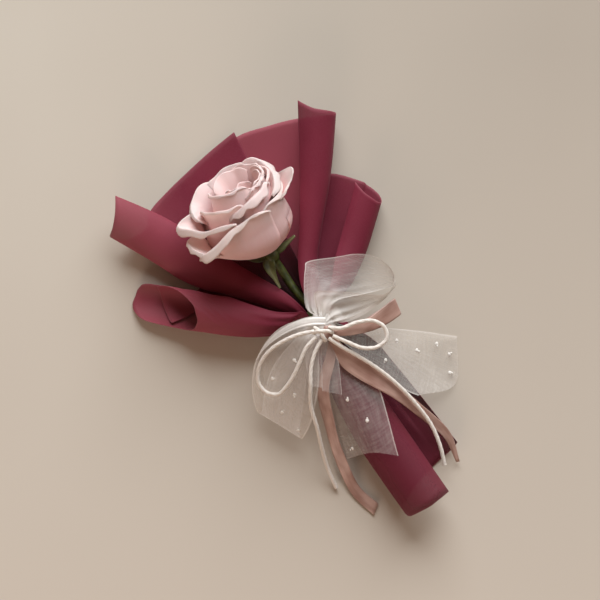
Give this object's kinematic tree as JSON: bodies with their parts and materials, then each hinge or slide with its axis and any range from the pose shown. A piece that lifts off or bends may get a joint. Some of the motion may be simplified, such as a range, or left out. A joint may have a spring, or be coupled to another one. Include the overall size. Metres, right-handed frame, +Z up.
{
  "type": "single rose bouquet",
  "caption": "Rose in a loose burgundy paper wrap, gathered at the neck and tied with organza and satin ribbons and a white cord bow, lying on its back.",
  "frame": {"origin": "On the surface that the bouquet lies on, under the middle of its box.", "axes": "+Y runs from the handle towards the bloom, +X to its right as seen from above, and +Z up from the surface."},
  "size_m": [0.1538, 0.2394, 0.0616],
  "materials": {
    "paper_burgundy": "matte wrapping paper",
    "petal_blush": "soft matte petal",
    "stem_green": "matte green stem and sepals",
    "tape_green": "matte tape",
    "organza_white": "sheer woven organza with small white dots",
    "satin_rose": "plain satin",
    "cord_white": "twisted cord"
  },
  "bodies": {
    "root": {"paper_inner_sheet": "paper_burgundy", "paper_liner": "paper_burgundy", "paper_outer_sheet": "paper_burgundy", "rose_bloom": "petal_blush", "rose_stem": "stem_green", "neck_tape": "tape_green", "organza_ribbon": "organza_white", "satin_ribbon": "satin_rose", "cord_knot": "cord_white", "cord_right_loop": "cord_white", "cord_left_loop": "cord_white", "cord_left_tail": "cord_white", "cord_right_tail": "cord_white"}
  },
  "joints": []
}
